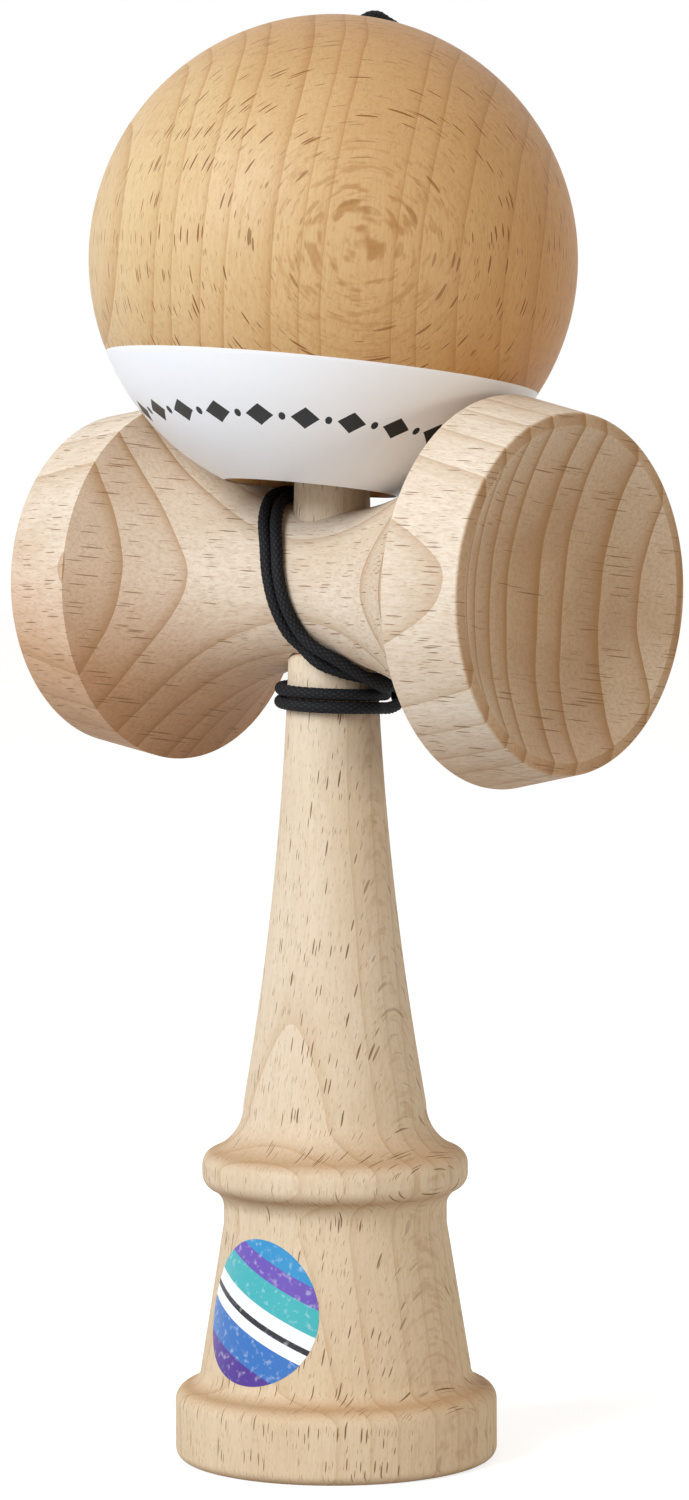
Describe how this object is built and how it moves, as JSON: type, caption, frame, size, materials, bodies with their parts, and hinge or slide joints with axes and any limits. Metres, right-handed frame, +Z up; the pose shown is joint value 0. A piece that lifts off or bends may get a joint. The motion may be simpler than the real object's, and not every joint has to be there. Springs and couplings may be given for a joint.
{
  "type": "kendama",
  "caption": "Wooden cup-and-ball toy: turned handle with spike and base cup, cross piece with two cups, bored ball with a painted zone, and the string that ties them.",
  "frame": {"origin": "centre of the base cup's rim, on the plane that it stands on", "axes": "+Z up along the handle to the spike, +X along the cross piece to the big cup, -Y to the front with the sticker"},
  "size_m": [0.0732, 0.0614, 0.1793],
  "materials": {
    "handle_beech": "bare, fine sanded",
    "cross_beech": "bare, fine sanded",
    "ball_beech": "satin lacquer",
    "white_paint": "satin paint film",
    "bead_plastic": "polished",
    "string_nylon": "braided",
    "sticker_film": "printed film"
  },
  "bodies": {
    "ken": {"ken": "handle_beech", "sarado": "cross_beech", "sticker": "sticker_film", "string_winding": "string_nylon", "string_drop": "string_nylon", "sarado_knot": "string_nylon"},
    "string_end": {"bead": "bead_plastic", "tama_knot": "string_nylon", "string_over_ball": "string_nylon"},
    "tama": {"tama": "ball_beech", "paint_coat": "white_paint"}
  },
  "joints": [
    {"name": "tama_lift", "type": "slide", "parent": "ken", "child": "string_end", "axis": [0, 0, 1], "range_m": [0, 0.045], "deforming": ["string_drop"]},
    {"name": "tama_spin", "type": "hinge", "parent": "string_end", "child": "tama", "pos_m": [0.0004, 0, 0.14841], "axis": [0.0242, 0.1305, 0.9911], "continuous": true}
  ]
}
